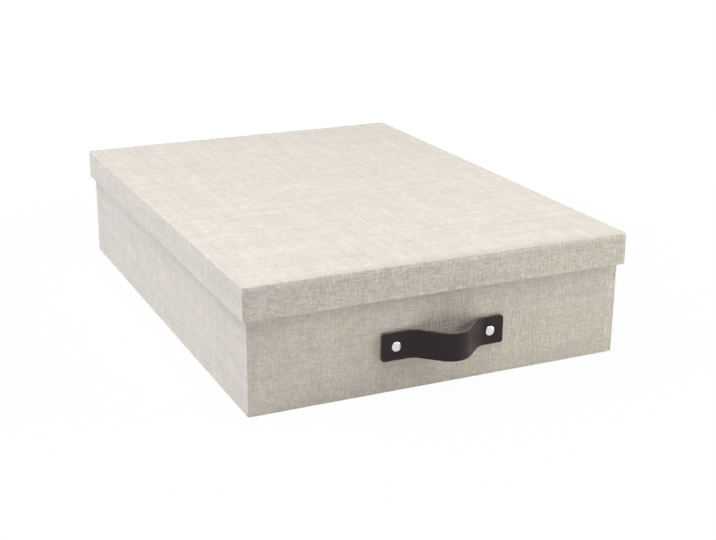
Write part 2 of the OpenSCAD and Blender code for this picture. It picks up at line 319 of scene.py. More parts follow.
def weave(finish, where, split, pitch):
    """The plain weave: the tone of whichever thread is on top, and the cloth's height."""

    def counted(axis, per_metre, place):
        wander = finish.math("MULTIPLY", finish.clouds(place, WANDER_SCALE), WANDER)
        return finish.math("MULTIPLY_ADD", split.outputs[axis], per_metre, wander)

    per_metre = 1.0 / pitch
    first = counted("X", per_metre, where)
    second = counted("Y", per_metre * WEFT_COUNT, finish.shifted(where, (3.1, 7.7, 0.0)))
    warp_tone, warp_height = threads(finish, first, second, 0.0)
    weft_tone, weft_height = threads(finish, second, first, 1.0)
    lead = finish.math("SUBTRACT", weft_height, warp_height)
    on_top = finish.fit(lead, -CROSSING, CROSSING)
    evened = (1.0 - WEFT_CONTRAST) / 2
    weft_tone = finish.math("MULTIPLY_ADD", weft_tone, WEFT_CONTRAST, evened)
    tone_gap = finish.math("SUBTRACT", weft_tone, warp_tone)
    tone = finish.math("MULTIPLY_ADD", on_top, tone_gap, warp_tone)
    return tone, finish.math("MAXIMUM", warp_height, weft_height)


def drawn_clouds(finish, split, across, along, seed):
    """Two sets of noise drawn out along the threads, one each way, in metres."""
    for x_size, y_size, level in ((across, along, seed), (along, across, seed + 5.0)):
        x = finish.math("MULTIPLY", split.outputs["X"], 1.0 / x_size)
        y = finish.math("MULTIPLY", split.outputs["Y"], 1.0 / y_size)
        yield finish.clouds(finish.spot(x, y, level), 1.0)


def streaks(finish, split, strength):
    """Long faint stripes of lighter and darker yarn, crossing each other, round a level of 1."""
    level = 1.0
    for across, along, share in STRIPES:
        half = strength * share
        for stripe in drawn_clouds(finish, split, across, along, across * 1000.0):
            stripe = finish.fit(stripe, 0.25, 0.75, 1.0 - half, 1.0 + half)
            level = finish.math("MULTIPLY", level, stripe)
    return level


def slubs(finish, split, strength):
    """The thick places in the yarn, as a height."""
    warp, weft = drawn_clouds(finish, split, *SLUB_SIZE, 3.0)
    return finish.math("MULTIPLY", finish.math("ADD", warp, weft), strength)


def tints(finish, where):
    """Large faint clouds of yellower, bluer, greener and redder cloth."""
    earth = finish.stretch(finish.clouds(where, 38.0))
    blush = finish.stretch(finish.clouds(finish.shifted(where, (9.2, 4.4, 0.0)), 62.0))
    warmth = finish.blend(earth, *EARTH_TINTS)
    return finish.blend(1.0, warmth, finish.blend(blush, *BLUSH_TINTS), "MULTIPLY")


def linen_finish(cloth):
    """Slubby plain-weave linen, glued down: it follows the covering's own UV map, in metres.

    One attribute raises the weave's contrast and tint on the short faces, as painted shade of the
    threads' relief; another makes the cloth paler or darker, as worn cloth and a painted highlight
    on its folds, and as painted highlights, painted shade and a painted shadow elsewhere."""
    finish = Finish("linen_cloth", Roughness=0.9, Specular_IOR_Level=0.15, Sheen_Weight=0.08)
    where = finish.add("ShaderNodeUVMap", uv_map="cloth").outputs["UV"]
    split = finish.add("ShaderNodeSeparateXYZ", {"Vector": where})
    tone, height = weave(finish, where, split, cloth.thread_pitch)
    # The short faces' stronger weave contrast and tint are painted shade of the threads' relief.
    handled = finish.marked("handled")
    contrast = finish.math("MULTIPLY_ADD", handled, cloth.open_weave - cloth.calm, cloth.calm)
    swing = finish.math("MULTIPLY_ADD", finish.fit(tone, *TONE_RANGE), 2.0, -1.0)
    shade = finish.math("MULTIPLY_ADD", finish.math("MULTIPLY", swing, contrast), 0.5, 0.5)
    yarn = finish.blend(shade, tuple(cloth.dark_thread), tuple(cloth.light_thread))
    tint_share = finish.math("MULTIPLY_ADD", handled, HANDLED_TINT, TINT_SHARE)
    tinted = finish.blend(tint_share, yarn, tints(finish, where), "MULTIPLY")
    gaps = finish.fit(height, 0.0, 0.7, GAP_SHADE, 1.0)
    patches = finish.stretch(finish.clouds(where, 55.0, 3.0, 0.55), *PATCHES)
    level = finish.math("MULTIPLY", patches, streaks(finish, split, cloth.streak))
    # Worn cloth and a painted highlight on the folds, and the coverings' other painted highlights,
    # painted shade and painted shadow.
    level = finish.math("MULTIPLY", finish.math("MULTIPLY", gaps, level), finish.marked("wear"))
    grey = finish.spot(level, level, level)
    finish.surface("Base Color", finish.blend(1.0, tinted, grey, "MULTIPLY"))
    fibres = finish.clouds(where, 3200.0, 1.0)
    raised = finish.math("MULTIPLY", height, THREAD_HEIGHT)
    raised = finish.math("MULTIPLY_ADD", fibres, FIBRE_HEIGHT, raised)
    raised = finish.math("ADD", raised, slubs(finish, split, cloth.slub))
    finish.relief(raised, RELIEF_STEP)
    return finish.material


# The leather. Each zone begins and is full at two shares of the depth from the grain side.
RIM_BAND = (0.01, 0.1)
DULL_BAND = (0.1, 0.2)
CUT_BAND = (0.16, 0.24)
FLESH_BAND = (0.88, 0.98)
FLESH_DARK, FLESH_PALE = paint(58, 47, 45), paint(92, 76, 70)


def leather_finish(strap):
    """Dark smooth leather. The "depth" attribute is 0 on the grain side and 1 on the
    flesh side; the cut edge between them is paler, with a dark line along its grain."""
    finish = Finish("dark_leather", Specular_IOR_Level=0.28)
    where = finish.add("ShaderNodeUVMap", uv_map="hide").outputs["UV"]
    depth = finish.marked("depth")
    grained = {"Vector": where, "Scale": 1500.0}
    pores = finish.add("ShaderNodeTexVoronoi", grained).outputs["Distance"]
    creases = finish.clouds(where, 420.0, 4.0, 0.6)
    tone = finish.clouds(where, 120.0, 3.0)
    fibres = finish.fit(creases, 0.35, 0.65)
    deep, pale = shaded(strap.leather, 0.82), shaded(strap.leather, 1.25)
    skin = finish.blend(finish.stretch(tone), deep, pale)
    cut = finish.blend(fibres, shaded(strap.cut_edge, 0.7), tuple(strap.cut_edge))
    flesh = finish.blend(fibres, FLESH_DARK, FLESH_PALE)
    rolled = finish.blend(finish.fit(depth, *RIM_BAND), skin, shaded(strap.leather, 0.5))
    edged = finish.blend(finish.fit(depth, *CUT_BAND), rolled, cut)
    finish.surface("Base Color", finish.blend(finish.fit(depth, *FLESH_BAND), edged, flesh))
    smooth = finish.math("MULTIPLY_ADD", tone, 0.12, 0.4)
    rough = finish.math("MULTIPLY_ADD", finish.fit(depth, *DULL_BAND), 0.4, smooth)
    finish.surface("Roughness", rough)
    finish.relief(finish.math("MULTIPLY_ADD", pores, 0.5, creases), 0.00008, 0.5)
    return finish.material


def nickel_finish(strap):
    """Polished nickel with fine scratches and a little haze."""
    finish = Finish("polished_nickel", Metallic=1.0)
    finish.surface("Base Color", (*strap.nickel, 1.0))
    where = finish.add("ShaderNodeTexCoord").outputs["Object"]
    finish.surface("Roughness", finish.stretch(finish.clouds(where, 900.0, 3.0), 0.24, 0.34))
    finish.relief(finish.clouds(where, 2600.0), 0.00001, 0.5)
    return finish.material


def paper_finish(name, tint, flecks, fineness, depth):
    """Paper or board: fibres drawn out one way, flecks, and a slow change of tone."""
    finish = Finish(name, Roughness=0.85, Specular_IOR_Level=0.2)
    where = finish.add("ShaderNodeTexCoord").outputs["Object"]
    lay = {"Vector": where, "Scale": (1.0, 3.5, 2.0), "Rotation": (0.0, 0.0, 0.35)}
    drawn = finish.add("ShaderNodeMapping", lay).outputs[0]
    fibres = finish.clouds(drawn, fineness, 4.0, 0.65)
    dark, light = shaded(tint, 1.0 - flecks), shaded(tint, 1.0 + flecks * 0.35)
    pulp = finish.blend(finish.stretch(fibres), dark, light)
    pulp = finish.blend(finish.stretch(finish.clouds(where, 30.0)), pulp, tuple(tint))
    specks = finish.fit(finish.clouds(where, fineness * 1.7, 1.0), 0.68, 0.76, 0.0, 0.6)
    speckled = finish.blend(specks, pulp, shaded(tint, 1.0 - 2.2 * flecks))
    finish.surface("Base Color", speckled)
    finish.relief(fibres, depth, 0.5)
    return finish.material


def shared(name, make, settings):
    """The material of a name, made when it is first asked for."""
    return bpy.data.materials.get(name) or make(settings)


# ---- Shared modelling ----


def placed(bm, name, material):
    """Turns a bmesh into an object of the scene."""
    mesh = bpy.data.meshes.new(name)
    bm.to_mesh(mesh)
    bm.free()
    mesh.materials.append(material)
    made = bpy.data.objects.new(name, mesh)
    bpy.context.scene.collection.objects.link(made)
    return made


def piece(bm, name, body, material, replaced):
    """Turns a bmesh into a smooth piece that rides on a body and stands for CAD nodes."""
    made = placed(bm, name, material)
    made.data.shade_smooth()
    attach(made, body)
    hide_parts(*replaced)
    return made


def verts_of(geometry):
    """The vertices in what a bmesh operator gives back."""
    return [v for v in geometry if isinstance(v, bmesh.types.BMVert)]


def rounded(bm, geometry, radius, segments, affect="EDGES"):
    """Rounds edges, or the corners of a flat sheet."""
    bmesh.ops.bevel(
        bm,
        geom=geometry,
        offset=radius,
        offset_type="OFFSET",
        segments=segments,
        profile=0.5,
        affect=affect,
        material=-1,
    )


def rounded_sheet(width, depth, radius, segments):
    """A flat sheet with round corners, centred on the origin."""
    bm = bmesh.new()
    bmesh.ops.create_grid(bm, x_segments=1, y_segments=1, size=0.5)
    bmesh.ops.scale(bm, vec=(width, depth, 1.0), verts=bm.verts)
    rounded(bm, bm.verts[:], radius, segments, "VERTICES")
    return bm


def pull_ring(bm, ring, inward, rise):
    """Extrudes a ring of edges, draws it in, lifts it and gives back the new ring."""
    made = bmesh.ops.extrude_edge_only(bm, edges=ring)["geom"]
    verts = verts_of(made)
    half_x = max(v.co.x for v in verts)
    half_y = max(v.co.y for v in verts)
    factors = (1.0 - inward / half_x, 1.0 - inward / half_y, 1.0)
    bmesh.ops.scale(bm, vec=factors, verts=verts)
    bmesh.ops.translate(bm, vec=(0.0, 0.0, rise), verts=verts)
    moved = set(verts)
    return [e for e in made if isinstance(e, bmesh.types.BMEdge) and moved.issuperset(e.verts)]


def cut_across(bm, axis, places):
    """Cuts the mesh at each place along an axis."""
    normal = Vector((0.0, 0.0, 0.0))
    normal[axis] = 1.0
    for place in places:
        geometry = bm.verts[:] + bm.edges[:] + bm.faces[:]
        bmesh.ops.bisect_plane(
            bm, geom=geometry, dist=1e-6, plane_co=normal * place, plane_no=normal
        )


def spread(low, high, step):
    """Evenly spaced places strictly between two ends, about a step apart."""
    count = max(2, round((high - low) / step))
    return [low + (high - low) * i / count for i in range(1, count)]


# ---- Coverings ----

ON_FACE = 0.0001  # a point this near to a face lies on it
CUT_MARGIN = 0.0004  # from a fold's curve to the nearest cut
LAP_STEP, LAP_SLOPE = 0.00009, 0.00025  # the height and width of the step at a lap
FURROW = 0.00035  # half the width of the furrow along the boards' joint
FURROW_LINE = 0.00005  # a point this near to the joint lies on it
FOLD_REACH = 1.4  # takes the paler cloth, partly worn and partly a painted highlight, past a fold's middle
HANDLED_REACH = 0.0015  # how far in from the short faces the weave's relief is painted as shade
SLOW_WAVE, QUICK_WAVE = 0.045, 0.011
FLAT = 0.99  # the largest part of a flat face's normal is more than this
HELD = 0.3  # the share of the ripple that is left on rounded folds


class Cover:
    """A cloth covering: a sheet over a box, turned over the box's open rim.

    Depth is measured from the first fold (the lid's top or the tray's base) towards the
    open rim, and inset from the outer face inwards."""

    def __init__(self, low, high, cloth):
        self.half = Vector((high.x, high.y))
        self.low = low.z
        self.high = high.z
        self.height = high.z - low.z
        self.hem = BOARD_THICKNESS + 2 * cloth.thickness
        self.cloth = cloth

    def inset(self, co):
        return Vector((self.half.x - abs(co.x), self.half.y - abs(co.y)))

    def sheet(self, level):
        """The flat sheet that the covering starts from, at its first fold."""
        bm = rounded_sheet(2 * self.half.x, 2 * self.half.y, self.cloth.corner_radius, 5)
        bmesh.ops.translate(bm, vec=(0.0, 0.0, level), verts=bm.verts)
        return bm

    def turn_over(self, bm, fold, rise, turn_in, radius, segments):
        """Draws the cloth from its first fold to the rim, over it and in, and rounds each fold."""
        rim = pull_ring(bm, fold, 0.0, rise)
        inner_edge = pull_ring(bm, rim, self.hem, 0.0)
        pull_ring(bm, inner_edge, 0.0, turn_in)
        rounded(bm, inner_edge, self.cloth.rim_radius / 2, 2)
        rounded(bm, rim, self.cloth.rim_radius, 3)
        rounded(bm, fold, radius, segments)

    def cut(self, bm):
        """Cuts the covering into a grid, with holding cuts beside its folds and corner laps."""
        cloth, half = self.cloth, self.half
        for axis in (0, 1):
            end = half[axis] - (cloth.corner_radius + CUT_MARGIN)
            cut_across(bm, axis, [-end, end] + spread(-end, end, cloth.grid))
        slope = (0.0, LAP_SLOPE)
        laps = [side * (half.x - cloth.seam_inset - gap) for side in (-1, 1) for gap in slope]
        cut_across(bm, 0, laps)
        furrow = [cloth.joint_inset + gap for gap in (-FURROW, 0.0, FURROW)]
        for axis in (0, 1):
            cut_across(bm, axis, [side * (half[axis] - gap) for side in (-1, 1) for gap in furrow])
        low = self.low + cloth.fold_radius + CUT_MARGIN
        high = self.high - cloth.fold_radius - CUT_MARGIN
        cut_across(bm, 2, [low, high] + spread(low, high, cloth.grid))
        for axis, places in self.own_cuts():
            cut_across(bm, axis, places)

    def station(self, depth, inset):
        """How far along the cloth from its first fold a point lies."""
        if inset > self.hem / 2 and depth > 2 * self.hem:
            return self.height + inset + (self.height - depth)
        if depth > self.height / 2:
            return depth + inset
        return depth - inset

    def lay_out(self, bm):
        """Unrolls the cloth flat, in metres, so that the threads run true on every face."""
        flat = bm.loops.layers.uv.new("cloth")
        for face in bm.faces:
            middle = self.inset(face.calc_center_median())
            on_end = middle.y < middle.x
            for loop in face.loops:
                co = loop.vert.co
                inset = self.inset(co)
                reach = self.station(self.depth(co), inset.y if on_end else inset.x)
                if on_end:
                    loop[flat].uv = (co.x, math.copysign(self.half.y + reach, co.y))
                else:
                    loop[flat].uv = (math.copysign(self.half.x + reach, co.x), co.y)

    def mark_wear(self, bm):
        """Marks the cloth as paler on its folds, partly worn and partly a painted highlight, adds
        each covering's own painted highlights, painted shade and painted shadow, and marks the
        short faces where the weave's relief is painted as shade."""
        wear = bm.verts.layers.float.new("wear")
        handled = bm.verts.layers.float.new("handled")
        for vert in bm.verts:
            inset = self.inset(vert.co)
            upright = 1.0 - max(inset) / self.cloth.corner_radius
            level = 1.0 - max(min(inset), self.depth(vert.co)) / self.cloth.fold_radius
            fold = min(1.0, FOLD_REACH * max(0.0, upright, level))
            # Paler folds: partly worn cloth, partly a painted highlight.
            vert[wear] = 1.0 + self.cloth.fold_lift * fold
            # Each covering's own painted highlights, painted shade and painted shadow.
            vert[wear] += self.own_wear(vert.co)
            # Painted shade of the weave's relief on the short faces.
            vert[handled] = self.handling * max(0.0, 1.0 - inset.y / HANDLED_REACH)

    def lap_corners(self, bm):
        """Lets the cloth of the long faces lap onto the short ones under a shallow step."""
        for vert in bm.verts:
            inset = self.inset(vert.co)
            if inset.y < ON_FACE and inset.x < self.cloth.seam_inset:
                vert.co.y -= math.copysign(LAP_STEP, vert.co.y)

    def settle(self, bm):
        """Fits the cloth to what lies under it. Only the lid's cloth needs it."""

    def ripple(self, bm):
        """Presses slow waves and small unevenness into the glued cloth, less on its folds."""
        bm.normal_update()
        for vert in bm.verts:
            slow = noise.noise(vert.co / SLOW_WAVE)
            quick = noise.noise(vert.co / QUICK_WAVE + Vector((5.0, 3.0, 1.0)))
            held = 1.0 if max(abs(part) for part in vert.normal) > FLAT else HELD
            depth = 0.6 + 0.6 * slow + 0.25 * quick
            vert.co -= vert.normal * held * self.cloth.ripple * depth

    def make(self, bm, name, body, replaced):
        """Cuts, unrolls, marks and presses the covering, and gives it its thickness."""
        self.cut(bm)
        bmesh.ops.recalc_face_normals(bm, faces=bm.faces[:])
        self.lay_out(bm)
        self.mark_wear(bm)
        self.lap_corners(bm)
        self.settle(bm)
        self.ripple(bm)
        material = shared("linen_cloth", linen_finish, self.cloth)
        made = piece(bm, name, body, material, [replaced])
        wall = made.modifiers.new("Cloth Thickness", "SOLIDIFY")
        wall.thickness = self.cloth.thickness
        wall.offset = -1.0
        wall.use_even_offset = True


class TrayCover(Cover):
    """The tray's covering, with a painted shadow along the lower edge of the lid's skirt."""

    # how strongly the short faces' weave is painted with the shade of its relief
    handling = 0.45
    rub_below, rub_above = 0.01, 0.016  # the painted shadow's reach below and above the skirt's lower edge

    def depth(self, co):
        return co.z - self.low

    def own_cuts(self):
        """Cuts that hold the painted shadow's band."""
        below = (-self.rub_above, 0.0, 0.002, 0.006, self.rub_below)
        yield 2, [LID_LOW.z - drop for drop in below]

    def own_wear(self, co):
        """How much paler the cloth is at a point, less than 0 being darker: the painted shadow
        under the skirt.
        """
        below = LID_LOW.z - co.z
        away = below / self.rub_below if below > 0.0 else -below / self.rub_above
        return -self.cloth.rub * max(0.0, 1.0 - away)


class LidCover(Cover):
    """The lid's covering: painted shade along its front top edge, with a painted highlight in a
    band below it and along its lower rim, and sunken along the boards' joint, with painted shade
    in that furrow."""

    # how strongly the short faces' weave is painted with the shade of its relief
    handling = 1.0
    soil_back, soil_down = 0.008, 0.003  # how far the painted shade and the sag reach from the front top edge
    bleach_depth = 0.0019  # the depth of the painted highlight band's middle, and half its height
    front_face = 0.001  # a point this near to the front counts as on it
    # the height of the painted highlight along the skirt's lower edge
    pale_rim = 0.003
    drawn_back = 1.6  # how much further the sagging edge moves back than down
    waver, waver_size = 0.7, 0.03  # the changes in the furrow's depth

    def depth(self, co):
        return self.high - co.z

    def own_cuts(self):
        """Cuts that hold the painted shade by the front edge, the painted highlight band below it
        and the painted highlight on the lower rim.
        """
        yield 1, [inset - self.half.y for inset in (0.004, 0.006, self.soil_back)]
        yield 2, [self.high - depth for depth in (0.0023, self.soil_down, 0.0039)]
        yield 2, [self.low + self.pale_rim]

    def own_wear(self, co):
        """How much paler the cloth is at a point, less than 0 being darker: painted highlights
        below the front edge and on the lower rim, and painted shade by the front edge and over the
        joint.
        """
        depth = self.depth(co)
        band = 0.0
        if co.y < self.front_face - self.half.y:
            band = max(0.0, 1.0 - abs(depth - self.bleach_depth) / self.bleach_depth)
        rim = max(0.0, 1.0 - (self.height - depth) / self.pale_rim)
        soil = self.by_front_edge(co) * max(0.0, 1.0 - depth / self.cloth.fold_radius)
        soil = self.cloth.edge_soil * soil + self.cloth.joint_soil * self.on_joint(co)
        return self.cloth.front_bleach * band + self.cloth.rim_lift * rim - soil

    def by_front_edge(self, co):
        """How near a point lies to the front top edge, from 0 to 1, less at the corners."""
        back = (co.y + self.half.y) / self.soil_back
        down = self.depth(co) / self.soil_down
        middle = 1.0 - (co.x / self.half.x) ** 4
        return middle * max(0.0, 1.0 - back) * max(0.0, 1.0 - down)

    def on_joint(self, co):
        """Whether a point of the top lies over the joint of the boards under it."""
        away = abs(min(self.inset(co)) - self.cloth.joint_inset)
        return self.depth(co) < ON_FACE and away < FURROW_LINE

    def settle(self, bm):
        """Sinks the cloth along the boards' joint, and rounds the front top edge off a
        little more between its corners."""
        for vert in bm.verts:
            if self.on_joint(vert.co):
                waver = 1.0 + self.waver * noise.noise(vert.co / self.waver_size)
                vert.co.z -= self.cloth.joint_depth * waver
        for vert in bm.verts:
            near = self.by_front_edge(vert.co)
            vert.co.z -= self.cloth.front_sag * near * near
            if self.inset(vert.co).y < self.front_face:
                vert.co.y += self.drawn_back * self.cloth.front_sag * near


class FILEBOX_OT_lid_cover(bpy.types.Operator):
    """Covers the lid: one sheet over the top, down the skirt and up inside it"""

    bl_idname = "file_box.lid_cover"
    bl_label = "Lid Cover"

    def execute(self, context):
        cloth = context.scene.file_box.cloth
        cover = LidCover(LID_LOW, LID_HIGH, cloth)
        bm = cover.sheet(cover.high)
        top_fold = bm.edges[:]
        turn_in = cloth.lid_turn_in
        cover.turn_over(bm, top_fold, -cover.height, turn_in, cloth.fold_radius, 5)
        cover.make(bm, "lid_cloth_cover", "lid", "lid_wrap")
        return {"FINISHED"}


class FILEBOX_OT_tray_cover(bpy.types.Operator):
    """Covers the tray: one strip round the walls, turned in over the rim and under the base"""

    bl_idname = "file_box.tray_cover"
    bl_label = "Tray Cover"

    def execute(self, context):
        cloth = context.scene.file_box.cloth
        cover = TrayCover(TRAY_LOW, TRAY_HIGH, cloth)
        bm = cover.sheet(cover.low)
        base_fold = bm.edges[:]
        bmesh.ops.delete(bm, geom=bm.faces[:], context="FACES_ONLY")
        pull_ring(bm, base_fold, cloth.turn_under, 0.0)
        turn_in = WALL_LINING_TOP - cover.high
        cover.turn_over(bm, base_fold, cover.height, turn_in, cloth.base_fold_radius, 4)
        cover.make(bm, "tray_cloth_cover", "tray", "tray_wrap")
        return {"FINISHED"}


# ---- Strap and rivets ----

GRAIN_EDGE, FLESH_EDGE = 0.0005, 0.0003  # the radii of the strap's edges
CUT_LENGTH, CUT_WIDTH = 0.0008, 0.0009  # the spacing of its cuts, along it and across
EDGE_CUTS = (0.35, 0.65)  # the cuts round its edge, as shares of its thickness
DIMPLE_INSIDE = 0.0003  # how far under a rivet's head its dimple starts to rise
DIMPLE_SLOPE = 0.0012  # and how far that takes


class StrapCourse:
    """The line that the strap's middle follows, from its crest to either flat end.

    Distances out from the face are negative, towards -Y, as in the model."""

    def __init__(self, strap):
        self.half_t = strap.thickness / 2
        self.middle = strap.arch_lean
        rise = STRAP_HIGH.y - STRAP_LOW.y
        radii = strap.crest_radius + strap.foot_radius
        drop = radii - (rise - strap.thickness)
        self.foot_x = strap.rivet_pitch / 2 - HEAD_RADIUS - strap.foot_gap - self.middle
        leg = math.sqrt(self.foot_x**2 + drop**2 - radii**2)
        self.slope = math.atan2(self.foot_x, drop) - math.atan2(leg, radii)
        self.crest_y = strap.crest_radius - rise
        self.crest_r = strap.crest_radius - self.half_t
        self.foot_y = -strap.thickness - strap.foot_radius
        self.foot_r = strap.foot_radius + self.half_t
        self.crest_end = self.crest_r * self.slope
        self.leg_end = self.crest_end + leg
        self.foot_end = self.leg_end + self.foot_r * self.slope

    def along(self, x):
        """The distance from the crest, along the strap, of a place on one of its flats."""
        return self.foot_end + abs(x - self.middle) - self.foot_x

    def at(self, distance):
        """The place and the lean of the strap at a distance along it from the crest."""
        if distance < self.crest_end:
            lean = distance / self.crest_r
            x = self.crest_r * math.sin(lean)
            y = self.crest_y - self.crest_r * math.cos(lean)
        elif distance < self.leg_end:
            lean = self.slope
            gone = distance - self.crest_end
            x = self.crest_r * math.sin(lean) + gone * math.cos(lean)
            y = self.crest_y - self.crest_r * math.cos(lean) + gone * math.sin(lean)
        elif distance < self.foot_end:
            lean = (self.foot_end - distance) / self.foot_r
            x = self.foot_x - self.foot_r * math.sin(lean)
            y = self.foot_y + self.foot_r * math.cos(lean)
        else:
            lean = 0.0
            x = self.foot_x + distance - self.foot_end
            y = -self.half_t
        return x, y, lean


class FILEBOX_OT_pull_strap(bpy.types.Operator):
    """Cuts the leather strap flat, rounds its edges and bends it into its arch"""

    bl_idname = "file_box.pull_strap"
    bl_label = "Pull Strap"

    def execute(self, context):
        strap = context.scene.file_box.strap
        course = StrapCourse(strap)
        left = -course.along(STRAP_LOW.x)
        right = course.along(STRAP_HIGH.x)
        width = STRAP_HIGH.z - STRAP_LOW.z
        bm = rounded_sheet(right - left, width, strap.end_radius, 6)
        bmesh.ops.translate(bm, vec=((left + right) / 2, 0.0, 0.0), verts=bm.verts)
        outline = bm.edges[:]
        grain = verts_of(bmesh.ops.extrude_face_region(bm, geom=bm.faces[:])["geom"])
        bmesh.ops.translate(bm, vec=(0.0, 0.0, strap.thickness), verts=grain)
        bmesh.ops.recalc_face_normals(bm, faces=bm.faces[:])
        upper = [e for e in bm.edges if all(v.co.z > strap.thickness / 2 for v in e.verts)]
        rounded(bm, upper, GRAIN_EDGE, 3)
        rounded(bm, [e for e in outline if e.is_valid], FLESH_EDGE, 2)
        cut_across(bm, 0, spread(left, right, CUT_LENGTH))
        cut_across(bm, 1, spread(-width / 2, width / 2, CUT_WIDTH))
        cut_across(bm, 2, [strap.thickness * share for share in EDGE_CUTS])
        self.mark_depth(bm, strap)
        self.press_rivets(bm, strap, course)
        self.bend(bm, course)
        material = leather_finish(strap)
        piece(bm, "pull_strap", "tray", material, ["handle_strap"])
        return {"FINISHED"}

    def mark_depth(self, bm, strap):
        """Keeps the flat strap's own plan as its UV map, and marks how deep in the leather
        each point lies, from 0 on the grain side to 1 on the flesh side."""
        plan = bm.loops.layers.uv.new("hide")
        mark = bm.verts.layers.float.new("depth")
        for vert in bm.verts:
            vert[mark] = 1.0 - vert.co.z / strap.thickness
        for face in bm.faces:
            upright = abs(face.normal.z) < 0.5
            for loop in face.loops:
                co = loop.vert.co
                loop[plan].uv = (co.x + co.y, co.z) if upright else (co.x, co.y)

    def press_rivets(self, bm, strap, course):
        """Presses the grain side in round each rivet's head."""
        for side in (-1, 1):
            rivet = side * course.along(side * strap.rivet_pitch / 2)
            for vert in bm.verts:
                away = math.hypot(vert.co.x - rivet, vert.co.y)
                edge = max(0.0, away - HEAD_RADIUS + DIMPLE_INSIDE) / DIMPLE_SLOPE
                vert.co.z -= strap.dimple * math.exp(-edge * edge) * vert.co.z / strap.thickness

    def bend(self, bm, course):
        """Lays the flat strap along its course, upright on the front face."""
        level = (STRAP_HIGH.z + STRAP_LOW.z) / 2
        for vert in bm.verts:
            x, y, lean = course.at(abs(vert.co.x))
            out = vert.co.z - course.half_t
            place_x = course.middle + math.copysign(x + out * math.sin(lean), vert.co.x)
            place_y = FACE_Y + y - out * math.cos(lean)
            vert.co = (place_x, place_y, level + vert.co.y)
        bmesh.ops.recalc_face_normals(bm, faces=bm.faces[:])


def turned(profile):
    """Turns a profile of (radius, height) points round the Z axis."""
    bm = bmesh.new()
    verts = [bm.verts.new((radius, 0.0, height)) for radius, height in profile]
    edges = [bm.edges.new(pair) for pair in zip(verts, verts[1:])]
    bmesh.ops.spin(
        bm,
        geom=verts + edges,
        cent=(0.0, 0.0, 0.0),
        axis=(0.0, 0.0, 1.0),
        angle=2 * math.pi,
        steps=48,
        use_merge=True,
    )
    bmesh.ops.remove_doubles(bm, verts=bm.verts[:], dist=1e-6)
    bmesh.ops.recalc_face_normals(bm, faces=bm.faces[:])
    return bm


def rivet_piece(profile, level, strap, name, replaced):
    """Turns a nickel piece, lets it look out of the front face, and puts one at each rivet."""
    bm = turned(profile)
    upright, outward = Vector((0.0, 0.0, 1.0)), Vector((0.0, -1.0, 0.0))
    bmesh.ops.rotate(
        bm,
        cent=(0.0, 0.0, 0.0),
        matrix=upright.rotation_difference(outward).to_matrix(),
        verts=bm.verts,
    )
    pitch = strap.rivet_pitch
    bmesh.ops.translate(bm, vec=(-pitch / 2, FACE_Y, level), verts=bm.verts)
    second = bmesh.ops.duplicate(bm, geom=bm.verts[:] + bm.edges[:] + bm.faces[:])["geom"]
    bmesh.ops.translate(bm, vec=(pitch, 0.0, 0.0), verts=verts_of(second))
    material = shared("polished_nickel", nickel_finish, strap)
    piece(bm, name, "tray", material, [replaced])


class FILEBOX_OT_rivets(bpy.types.Operator):
    """Turns the two rivets: a flattened dome on a post"""

    bl_idname = "file_box.rivets"
    bl_label = "Rivets"

    crown = 0.0016  # the radius of the head's flatter middle
    tilt = math.radians(25)  # the slope where that meets the shoulder
    rim, undercut = 0.0002, 0.0001  # the head's straight rim, and how its seat is drawn in
    post = 0.0016  # the radius of the post

    def execute(self, context):
        strap = context.scene.file_box.strap
        tail = FACE_Y - RIVETS_HIGH.y
        seat = strap.thickness - strap.dimple
        profile = self.dome(FACE_Y - RIVETS_LOW.y, seat + self.rim)
        seat_edge = HEAD_RADIUS - self.undercut
        profile += [(seat_edge, seat), (self.post, seat), (self.post, tail), (0.0, tail)]
        level = (RIVETS_LOW.z + RIVETS_HIGH.z) / 2
        rivet_piece(profile, level, strap, "rivets", "handle_rivets")
        return {"FINISHED"}

    def dome(self, top, foot):
        """The head's profile from its middle to its rim: a flat curve, then a rounder one."""
        profile = [(0.0, top)]
        for step in range(1, 5):
            out = self.crown * step / 4
            fall = 0.5 * math.tan(self.tilt) * out * out / self.crown
            profile.append((out, top - fall))
        start = profile[-1][1]
        shoulder = HEAD_RADIUS - self.crown
        for step in range(1, 8):
            turn = self.tilt + (math.pi / 2 - self.tilt) * step / 7
            out = (math.sin(turn) - math.sin(self.tilt)) / (1.0 - math.sin(self.tilt))
            fall = (math.cos(self.tilt) - math.cos(turn)) / math.cos(self.tilt)
            profile.append((self.crown + shoulder * out, start - (start - foot) * fall))
        return profile


class FILEBOX_OT_back_caps(bpy.types.Operator):
    """Turns the two back caps that hold the rivets inside the tray"""

    bl_idname = "file_box.back_caps"
    bl_label = "Back Caps"

    ring = 0.0011  # how far in from the cap's edge its pressed ring lies
    bore = 0.00165  # the radius of the blind hole for the post

    def execute(self, context):
        strap = context.scene.file_box.strap
        radius = (CAPS_HIGH.z - CAPS_LOW.z) / 2
        inner = FACE_Y - CAPS_HIGH.y
        outer = FACE_Y - CAPS_LOW.y
        middle = (inner + outer) / 2
        ring = radius - self.ring
        profile = [
            (0.0, inner + 0.00035),
            (ring - 0.0009, inner + 0.00032),
            (ring - 0.0004, inner + 0.00018),
            (ring, inner),
            (radius - 0.0005, inner + 0.00003),
            (radius - 0.00015, inner + 0.0002),
            (radius, inner + 0.0005),
            (radius, outer - 0.0001),
            (radius - 0.0001, outer),
            (self.bore, outer),
            (self.bore, middle),
            (0.0, middle),
        ]
        level = (CAPS_LOW.z + CAPS_HIGH.z) / 2
        rivet_piece(profile, level, strap, "rivet_caps", "rivet_back_caps")
        return {"FINISHED"}


# ---- Boards and papers ----


